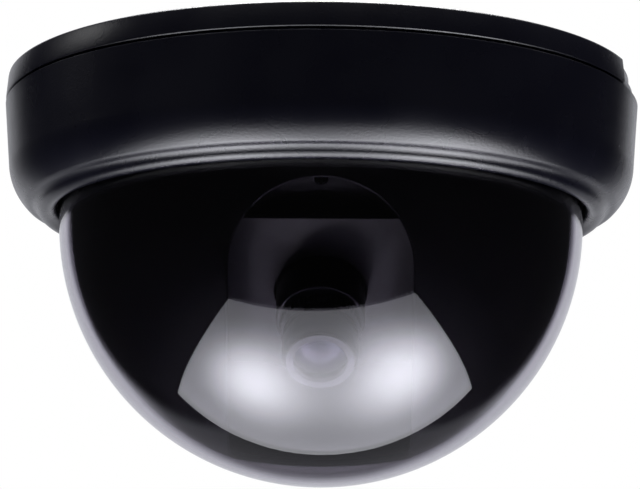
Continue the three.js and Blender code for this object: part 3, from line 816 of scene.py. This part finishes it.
def slot_cutter():
    near, far = 30, 60
    ends = []
    for pitch in (SLOT_START, SLOT_END):
        disc = prism(circle(SLOT_HALF_WIDTH, HAND), near, far)
        turn = Matrix.Rotation(math.pi / 2 + pitch, 4, "X")
        ends.append(moved(disc, shift(z=DOME_CENTRE_Z) @ turn))
    steps = 30
    angles = [SLOT_START + (SLOT_END - SLOT_START) * i / steps for i in range(steps + 1)]
    outline = [(far * math.cos(a), far * math.sin(a)) for a in angles]
    outline += [(near * math.cos(a), near * math.sin(a)) for a in reversed(angles)]
    wedge = prism(outline, -SLOT_HALF_WIDTH, SLOT_HALF_WIDTH)
    # The wedge's own x points forward and its y down.
    wedge.transform(Matrix(((0, 0, 1, 0), (-1, 0, 0, 0), (0, -1, 0, DOME_CENTRE_Z * MM), (0, 0, 0, 1))))
    return ends + [wedge]


def inner_liner():
    inner = LINER_RADIUS - LINER_WALL
    centre = (0, DOME_CENTRE_Z)
    outer_curve = arc(centre, LINER_RADIUS, 90, 0, 48)
    inner_curve = arc(centre, inner, 0, 90, 48)
    outer_curve[0] = (0, outer_curve[0][1])
    inner_curve[-1] = (0, inner_curve[-1][1])
    flange_low = LINER_TOP - LINER_FLANGE
    neck_inner = LINER_NECK_RADIUS - LINER_WALL
    neck = rounded(
        [
            outer_curve[-1],
            (LINER_NECK_RADIUS, LINER_NECK_LOW),
            (LINER_NECK_RADIUS, LINER_TOP),
            (39.5, LINER_TOP),
            (39.5, flange_low),
            (neck_inner, flange_low),
            (neck_inner, LINER_NECK_LOW),
            inner_curve[0],
        ],
        0.4,
        closed=False,
    )
    shell = turned(outer_curve[:-1] + neck + inner_curve[1:], ROUND)
    holes = []
    for angle in SPOKE_ANGLES:
        hole = prism(circle(1.3, SMALL), LINER_TOP - 3, LINER_TOP + 1)
        holes.append(moved(hole, around(LINER_SCREW_RADIUS, angle)))
    return carve(shell, slot_cutter() + holes)


stand_in(turntable(), "turntable", MECHANISM)
arm = bracket_arm()
stand_in(arm, "bracket_arm_right", MECHANISM)
stand_in(arm, "bracket_arm_left", MECHANISM, HALF_TURN)
bracket_screw = screw(2.2, 1.4, 0.9, 3.8)
bracket_seat = ARM_TOP - ARM_FOOT - GAP
for i, (x, y) in enumerate(FOOT_SCREWS):
    stand_in(bracket_screw, f"bracket_screw_{i + 1}", BLACK_STEEL, shift(x, y, bracket_seat))
stand_in(inner_liner(), "inner_liner", LINER)
beside(swept(slot_path(LINER_RADIUS - 0.3), 0.35), "liner_slot_lip", "inner_liner", LINER)
liner_screw = screw(1.7, 1.2, 0.9, 3.4)
for i, angle in enumerate(SPOKE_ANGLES):
    seat = around(LINER_SCREW_RADIUS, angle) @ shift(z=LINER_TOP - LINER_FLANGE - GAP)
    stand_in(liner_screw, f"liner_screw_{i + 1}", BLACK_STEEL, seat)

# ---- tilt body, in the optical frame ----

CRADLE_LOW = -5.5
CRADLE_TOP = -1.5


def tilt_cradle():
    hoop = turned(
        rounded(
            [
                (18.5, CRADLE_LOW),
                (25.4, CRADLE_LOW),
                (25.4, CRADLE_TOP),
                (21.3, CRADLE_TOP),
                (21.3, CRADLE_LOW + 1.2),
                (18.5, CRADLE_LOW + 1.2),
            ],
            0.35,
        ),
        ROUND,
    )
    ear_outline = rounded(box_outline(1.8, 5, 24.8, CRADLE_EAR_X), 0.3)
    ear = moved(turned(ear_outline, HAND), ALONG_X)
    return joined(hoop, ear, moved(ear, HALF_TURN))


def thumb_screw():
    start = ARM_OUTER_X + GAP

    def flutes(angle, radius):
        return -0.55 * max(0, math.cos(8 * angle)) ** 2 if radius > 3.8 else 0

    head = rounded([(0, start), (4.5, start), (4.5, THUMB_END_X), (0, THUMB_END_X)], 0.5, steps=4)
    knob = turned(head, 2 * HAND, flutes)
    tip = CRADLE_EAR_X - 1.5
    root = start + 0.5
    shaft = turned([(0, tip), (1.5, tip), (1.5, root), (0, root)], SMALL)
    slot = prism(rectangle(5, 0.8), THUMB_END_X - 0.7, THUMB_END_X + 1)
    return moved(joined(carve(knob, [slot]), shaft), ALONG_X)


stand_in(tilt_cradle(), "tilt_cradle", MECHANISM, OPTICAL)
retainer_outline = rounded(box_outline(19.6, 24.4, CRADLE_TOP + GAP, CRADLE_TOP + 1.2), 0.2)
stand_in(turned(retainer_outline, ROUND), "rotor_retainer", MECHANISM, OPTICAL)
retainer_screw = moved(screw(1.3, 0.9, 0.6, 3.6), UPSIDE_DOWN)
thumb = thumb_screw()
washer_outline = rounded(box_outline(1.8, 4.5, CRADLE_EAR_X + GAP, CRADLE_EAR_X + 0.7), 0.1)
washer = moved(turned(washer_outline, HAND), ALONG_X)
for i, (word, turn) in enumerate([("left", HALF_TURN), ("right", Matrix())]):
    side = 2 * i - 1
    place = OPTICAL @ shift(y=side * 22.9, z=CRADLE_TOP + 1.5)
    stand_in(retainer_screw, f"retainer_screw_{i + 1}", BLACK_STEEL, place)
    stand_in(thumb, f"tilt_screw_{word}", BLACK_STEEL, OPTICAL @ turn)
    stand_in(washer, f"tilt_washer_{word}", BRASS, OPTICAL @ turn)

# ---- camera module, in the optical frame ----

PLATE_FRONT = 5
PLATE_BACK = 3.8
HOLDER_FOOT = 1.8
TOWER_RADIUS = 8.3
BOARD_FRONT = 1.5
BOARD_BACK = -0.1
ROTOR_FRONT = -2
ROTOR_BACK = -4
REAR_FRONT = -8
REAR_BACK = -9.6
BOARD_SIDE = 28
HOLDER_TOP = 13.5
POST_OFFSET = 11.5
SCREW_PLACES = [(-12, 0), (0, -12), (12, 0), (0, 12)]


def front_plate():
    outline = rounded(rectangle(35, 35), 1.2, steps=6)
    window = prism(circle(TOWER_RADIUS + GAP, HAND), 0, 9)
    plate = softened(carve(prism(outline, PLATE_BACK, PLATE_FRONT), [window]), 0.25)
    boss = turned(rounded(box_outline(0.9, 2, BOARD_FRONT + GAP, PLATE_BACK + 0.2), 0.1), SMALL)
    return joined(plate, *[moved(boss, shift(*place)) for place in SCREW_PLACES])


def module_rotor():
    disc = prism(circle(21, ROUND), ROTOR_BACK, ROTOR_FRONT)
    holes = [prism(circle(1, SMALL, place), ROTOR_BACK - 1, ROTOR_FRONT + 1) for place in SCREW_PLACES]
    boss = turned(rounded(box_outline(1, 2, ROTOR_FRONT - 0.2, BOARD_BACK - GAP), 0.1), SMALL)
    bosses = [moved(boss, shift(*place)) for place in SCREW_PLACES]
    return joined(softened(carve(disc, holes), 0.25), *bosses)


def board(low, high, holes=()):
    plate = prism(rounded(rectangle(BOARD_SIDE, BOARD_SIDE), 1), low, high)
    drills = [prism(circle(1, SMALL, place), low - 1, high + 1) for place in holes]
    return softened(carve(plate, drills), 0.08)


def chip(width, depth, height, x, y, base, pins):
    """A packaged chip standing out of a board's back, with gull-wing legs."""
    body = prism(rounded(rectangle(width, depth, (x, y)), 0.2), base - height, base)
    legs = []
    pitch = width * 0.85 / (pins - 1)
    for side in (-1, 1):
        leg_y = y + side * (depth / 2 + 0.3)
        for k in range(pins):
            leg_x = x + (k - (pins - 1) / 2) * pitch
            legs.append(prism(rectangle(0.25, 0.7, (leg_x, leg_y)), base - 0.25, base))
    return softened(body, 0.12), legs


def lens_holder():
    base = softened(prism(rounded(rectangle(17, 17), 0.8), HOLDER_FOOT, PLATE_BACK - GAP), 0.25)
    bore = prism(circle(6.2, HAND), 0, 6)
    tower = turned(
        rounded(
            [
                (6.1, HOLDER_FOOT),
                (TOWER_RADIUS, HOLDER_FOOT),
                (TOWER_RADIUS, HOLDER_TOP),
                (6.1, HOLDER_TOP),
            ],
            0.5,
            steps=4,
        ),
        HAND,
    )
    return joined(carve(base, [bore]), tower)


def header(pins):
    length = pins * 2 + 2.4
    front = REAR_BACK - GAP
    back = front - 5.5
    shell = prism(rounded(rectangle(length, 4.6), 0.3), back, front)
    pocket = prism(rectangle(length - 1.6, 3), back - 1, back + 4.4)
    keys = [prism(rectangle(0.9, 2, (x, -2.2)), back - 1, back + 3) for x in (-length / 4, length / 4)]
    return softened(carve(shell, [pocket, *keys]), 0.12)


def header_pins(pins):
    front = REAR_BACK - GAP
    row = []
    for i in range(pins):
        x = (i - (pins - 1) / 2) * 2
        pin = prism(rectangle(0.6, 0.6, (x, 0)), front - 5, front - 0.4)
        row.append(softened(pin, 0.12))
    return joined(*row)


stand_in(front_plate(), "module_front_plate", MODULE, OPTICAL)
stand_in(module_rotor(), "module_rotor", MECHANISM, OPTICAL)
stand_in(board(BOARD_BACK, BOARD_FRONT, SCREW_PLACES), "sensor_board", BOARD, OPTICAL)
stand_in(board(REAR_BACK, REAR_FRONT), "rear_board", BOARD, OPTICAL)
sensor = softened(prism(rounded(rectangle(9, 9), 0.3), HOLDER_FOOT, 3), 0.12)
stand_in(sensor, "image_sensor", CHIP, OPTICAL)
stand_in(softened(prism(rectangle(8, 8), 3.3, 3.9), 0.06), "ir_filter", FILTER, OPTICAL)
stand_in(lens_holder(), "lens_holder", LENS_BLACK, OPTICAL)
holder_screw = screw(1.3, 0.9, 0.55, 3.5)
for i, side in enumerate((-1, 1)):
    place = OPTICAL @ shift(6.9 * side, 6.9 * side, BOARD_BACK - GAP)
    stand_in(holder_screw, f"holder_screw_{i + 1}", STEEL, place)
module_screw = screw(1.6, 1, 0.65, 8.3)
for i, (x, y) in enumerate(SCREW_PLACES):
    place = OPTICAL @ shift(x, y, ROTOR_BACK - GAP)
    stand_in(module_screw, f"module_screw_{i + 1}", BLACK_STEEL, place)
post = softened(prism(circle(1.5, 6), REAR_FRONT + GAP, ROTOR_BACK - GAP), 0.12)
for i, (x, y) in enumerate(CORNERS):
    place = OPTICAL @ shift(POST_OFFSET * x, POST_OFFSET * y)
    stand_in(post, f"board_post_{i + 1}", BRASS, place)
for node, pins, x in (("power_connector", 2, -6), ("video_connector", 3, 5.5)):
    place = OPTICAL @ shift(x, 8)
    stand_in(header(pins), node, NYLON, place)
    beside(header_pins(pins), f"{node}_pins", node, BRASS, place)
can_top = REAR_BACK - GAP
can_low = can_top - 6
can = [(0, can_low + 0.2), (2.6, can_low + 0.2), (2.8, can_low), (3.2, can_low + 0.3)]
can += [(3.2, can_top - 1.2), (3.0, can_top - 0.9), (3.2, can_top - 0.6), (3.2, can_top), (0, can_top)]
stand_in(turned(can, HAND), "capacitor", SLEEVE, OPTICAL @ shift(-6, -5))
processor, processor_legs = chip(9, 9, 1.2, 5, -4.5, REAR_BACK, pins=10)
beside(processor, "processor_chip", "rear_board", CHIP, OPTICAL)
beside(joined(*processor_legs), "processor_legs", "rear_board", STEEL, OPTICAL)
small_parts = []
for i in range(9):
    x = -11 + 2.4 * i
    y = 1.6 + 0.9 * math.sin(2.2 * i)
    small_parts.append(softened(prism(rectangle(1.4, 0.8, (x, y)), REAR_BACK - 0.6, REAR_BACK), 0.1))
beside(joined(*small_parts), "board_resistors", "rear_board", CHIP, OPTICAL)

# ---- lens, in the optical frame ----

LENS_FRONT = 25
BARREL_FRONT = 24.2


def lens_barrel():
    thread = []
    turns = 22
    for i in range(turns):
        z = 5.8 + i * 0.5
        thread += [(5.8, z), (5.55, z + 0.25)]
    outline = [(4.2, 5.5), (5.6, 5.5), *thread, (5.6, 17.2), (6.9, 17.5), (7, 17.7)]
    outline += [(7, 18.6), (6.75, 18.8), (6.75, 19.2), (7, 19.4), (7, 22.5)]
    outline += arc((5.3, 22.5), 1.7, 0, -50, 6)
    outline += [(6.25, BARREL_FRONT), (5.8, BARREL_FRONT), (5.8, 19.2), (4.2, 19.2)]
    return turned(outline, 2 * HAND)


def bulged_glass(radius, back, rim, bulge):
    steps = 24
    outline = [(0, back), (radius - 0.1, back), (radius, back + 0.1)]
    for i in range(steps + 1):
        r = radius * (1 - i / steps)
        outline.append((r, rim + bulge * (1 - (r / radius) ** 2)))
    return turned(outline, HAND)


def lock_ring():
    def knurl(angle, radius):
        return -0.22 * abs(math.sin(24 * angle)) if radius > 7.2 else 0

    return turned(rounded(box_outline(6.1, 7.6, 14.6, 16.6), 0.25), 4 * HAND, knurl)


def front_ring():
    rim = BARREL_FRONT + GAP
    outline = [(4.9, 23.8), (5.5, 23.8), (5.5, rim), (6.3, rim), (6.3, LENS_FRONT), (4.9, LENS_FRONT - 0.1)]
    return turned(rounded(outline, 0.15), 2 * HAND)


stand_in(lens_barrel(), "lens_barrel", LENS_BLACK, OPTICAL)
stand_in(bulged_glass(5.4, 19.6, 22, 1.6), "front_glass", GLASS, OPTICAL)
stand_in(bulged_glass(3.9, 6.3, 7.6, 0.6), "rear_glass", GLASS, OPTICAL)
stand_in(front_ring(), "lens_front_ring", RING_GREY, OPTICAL)
stand_in(lock_ring(), "lens_lock_ring", LENS_BLACK, OPTICAL)

# ---- studio, metres ----

COOL_WHITE = (0.965, 0.975, 1.04, 1)
FLOOR_Z = -1.6
FLOOR_WIDTH = 12
TABLE_DROP = 0.5  # from the dome's centre down to the light table
TABLE_CORNERS = [(-1.0, -0.88), (1.11, -0.98), (1.07, 0.78), (-0.95, 0.7)]  # in drops
TABLE_GLOW = (1.4, 2.5)  # at the table's front edge and back edge
TABLE_HALF_DEPTH = 0.88  # where those two edges are, in drops
LAMPS = [((-0.4, -0.1), 0.335, 10.1), ((0.52, -0.13), 0.38, 10.6)]  # place, width, power
SHADOW_LAMP = (-0.14, -0.27)  # where it stands on the table, in drops
SHADOW_POWER = 0.45
BACKDROP_GLOW = 0.75
BACKDROP_EDGE = (math.radians(30), math.radians(36))  # half its width, from full to dark
BACKDROP_FOOT = (math.radians(-24), math.radians(-12))  # its lower edge, from dim to full
ROOM_GLOW = 0.007
CAMERA_PITCH = math.radians(11.64)
CAMERA_DISTANCE = 0.65046
CAMERA_ROLL = 0.006
CAMERA_TARGET = Vector((-0.000156, 0, -0.03111))
SENSOR_WIDTH = 36  # millimetres
LENS_LENGTH = 193.584375  # millimetres


def stage_material(name, color):
    material, nodes, links, shader, place = node_material(name)
    links.new(
        blended(nodes, links, noise(nodes, links, place, 3), color, [c * 0.97 for c in color]),
        shader.inputs["Base Color"],
    )
    shader.inputs["Roughness"].default_value = 0.9
    return material


def studio_floor():
    """The pale floor far below; the object's gloss doesn't mirror it."""
    bpy.ops.mesh.primitive_plane_add(size=FLOOR_WIDTH, location=(0, 0, FLOOR_Z))
    floor = bpy.context.object
    floor.name = "floor"
    floor.data.materials.append(stage_material("pale_floor", (0.82, 0.82, 0.84)))
    floor.visible_glossy = False
    floor.visible_transmission = False
    floor.visible_diffuse = False


def light_table():
    """A lit panel under the object, brighter over the two lamps behind its diffuser."""
    drop = TABLE_DROP
    mesh = bpy.data.meshes.new("light_table")
    mesh.from_pydata([(x * drop, y * drop, 0) for x, y in TABLE_CORNERS], [], [(0, 1, 2, 3)])
    table = object_of(mesh, "light_table")
    table.location.z = DOME_CENTRE_Z * MM - drop
    material = bpy.data.materials.new("diffuser")
    material.use_nodes = True
    nodes = material.node_tree.nodes
    links = material.node_tree.links
    nodes.clear()
    output = nodes.new("ShaderNodeOutputMaterial")
    glow = nodes.new("ShaderNodeEmission")
    place = nodes.new("ShaderNodeTexCoord")
    split = nodes.new("ShaderNodeSeparateXYZ")
    links.new(place.outputs["Object"], split.inputs["Vector"])
    half = TABLE_HALF_DEPTH * drop
    strength = ranged(nodes, links, split.outputs["Y"], *TABLE_GLOW, -half, half)
    for (x, y), width, power in LAMPS:
        shifted = nodes.new("ShaderNodeVectorMath")
        shifted.operation = "DISTANCE"
        shifted.inputs[1].default_value = (x * drop, y * drop, 0)
        links.new(place.outputs["Object"], shifted.inputs[0])
        squared = calculate(nodes, links, "POWER", shifted.outputs["Value"], 2)
        exponent = calculate(nodes, links, "MULTIPLY", squared, -1 / (width * drop) ** 2)
        bell = calculate(nodes, links, "EXPONENT", exponent, 0)
        lamp = calculate(nodes, links, "MULTIPLY", bell, power)
        strength = calculate(nodes, links, "ADD", strength, lamp)
    links.new(strength, glow.inputs["Strength"])
    glow.inputs["Color"].default_value = COOL_WHITE
    links.new(glow.outputs["Emission"], output.inputs["Surface"])
    table.data.materials.append(material)
    table.visible_camera = False


def backdrop():
    """White for the camera; for light and gloss, a white card behind and a dim room."""
    world = bpy.data.worlds.new("studio")
    bpy.context.scene.world = world
    world.use_nodes = True
    nodes = world.node_tree.nodes
    links = world.node_tree.links
    nodes.clear()
    output = nodes.new("ShaderNodeOutputWorld")
    seen = nodes.new("ShaderNodeBackground")
    seen.inputs["Color"].default_value = (1, 1, 1, 1)
    seen.inputs["Strength"].default_value = 1.0
    room = nodes.new("ShaderNodeBackground")
    room.inputs["Color"].default_value = COOL_WHITE
    place = nodes.new("ShaderNodeTexCoord")
    split = nodes.new("ShaderNodeSeparateXYZ")
    links.new(place.outputs["Generated"], split.inputs["Vector"])
    side = nodes.new("ShaderNodeMath")
    side.operation = "ABSOLUTE"
    links.new(split.outputs["X"], side.inputs[0])
    heading = nodes.new("ShaderNodeMath")
    heading.operation = "ARCTAN2"
    links.new(side.outputs["Value"], heading.inputs[0])
    links.new(split.outputs["Y"], heading.inputs[1])
    across = ranged(nodes, links, heading.outputs["Value"], BACKDROP_GLOW, ROOM_GLOW, *BACKDROP_EDGE)
    foot = [math.sin(pitch) for pitch in BACKDROP_FOOT]
    upright = ranged(nodes, links, split.outputs["Z"], 0.25, 1, *foot)
    lit = nodes.new("ShaderNodeMath")
    lit.operation = "MULTIPLY_ADD"
    lit.inputs[2].default_value = ROOM_GLOW
    links.new(across, lit.inputs[0])
    links.new(upright, lit.inputs[1])
    links.new(lit.outputs["Value"], room.inputs["Strength"])
    path = nodes.new("ShaderNodeLightPath")
    bounces = calculate(nodes, links, "ADD", path.outputs["Diffuse Depth"], path.outputs["Glossy Depth"])
    mix = nodes.new("ShaderNodeMixShader")
    links.new(calculate(nodes, links, "LESS_THAN", bounces, 0.5), mix.inputs["Fac"])
    links.new(room.outputs["Background"], mix.inputs[1])
    links.new(seen.outputs["Background"], mix.inputs[2])
    links.new(mix.outputs["Shader"], output.inputs["Surface"])


def area_lamp(name, place, target, size, power):
    data = bpy.data.lights.new(name, "AREA")
    data.shape = "DISK"
    data.size = size
    data.energy = power
    lamp = bpy.data.objects.new(name, data)
    lamp.location = place
    lamp.rotation_euler = (Vector(target) - Vector(place)).to_track_quat("-Z", "Y").to_euler()
    bpy.context.scene.collection.objects.link(lamp)
    return lamp


def group_of(name, pieces):
    """A collection that tells a lamp which pieces it lights, or which shade it."""
    group = bpy.data.collections.new(name)
    for piece in pieces:
        group.objects.link(piece)
    return group


def shadow_lamp():
    """A small lamp on the table whose light reaches only what is behind the dome."""
    x, y = SHADOW_LAMP
    place = (x * TABLE_DROP, y * TABLE_DROP, DOME_CENTRE_Z * MM - TABLE_DROP)
    lamp = area_lamp("shadow_lamp", place, (0, 0, DOME_CENTRE_Z * MM), size=0.045, power=SHADOW_POWER)
    module = []
    for body in ("camera_module", "optics", "barrel", "lock_ring"):
        module += pieces_on[body]
    lamp.light_linking.receiver_collection = group_of("lit_by_shadow_lamp", module)
    carriers = pieces_on["pan_body"] + pieces_on["tilt_body"]
    lamp.light_linking.blocker_collection = group_of("shading_shadow_lamp", module + carriers)


def studio_camera():
    forward = Vector((0, math.cos(CAMERA_PITCH), math.sin(CAMERA_PITCH)))
    level = Vector((1, 0, 0))
    above = level.cross(forward)
    right = level * math.cos(CAMERA_ROLL) + above * math.sin(CAMERA_ROLL)
    up = above * math.cos(CAMERA_ROLL) - level * math.sin(CAMERA_ROLL)
    data = bpy.data.cameras.new("camera")
    data.sensor_width = SENSOR_WIDTH
    data.lens = LENS_LENGTH
    camera = bpy.data.objects.new("camera", data)
    turn = Matrix((right, up, -forward)).transposed().to_4x4()
    camera.matrix_world = Matrix.Translation(CAMERA_TARGET - forward * CAMERA_DISTANCE) @ turn
    bpy.context.scene.collection.objects.link(camera)
    bpy.context.scene.camera = camera


studio_floor()
light_table()
backdrop()
area_lamp("floor_light", (0, 0.4, 2.4), (0, 0.4, FLOOR_Z), size=2.5, power=320)
left_fill = area_lamp("left_fill", (-1.38, 0.15, 0.65), (0, 0, -0.03), size=0.4, power=1.1)
outside = pieces_on["base"] + pieces_on["cover"]
housing = [piece for piece in outside if not piece.name.startswith("dome_")]
left_fill.light_linking.receiver_collection = group_of("lit_by_left_fill", housing)
shadow_lamp()
studio_camera()
bpy.context.scene.view_settings.view_transform = "Standard"
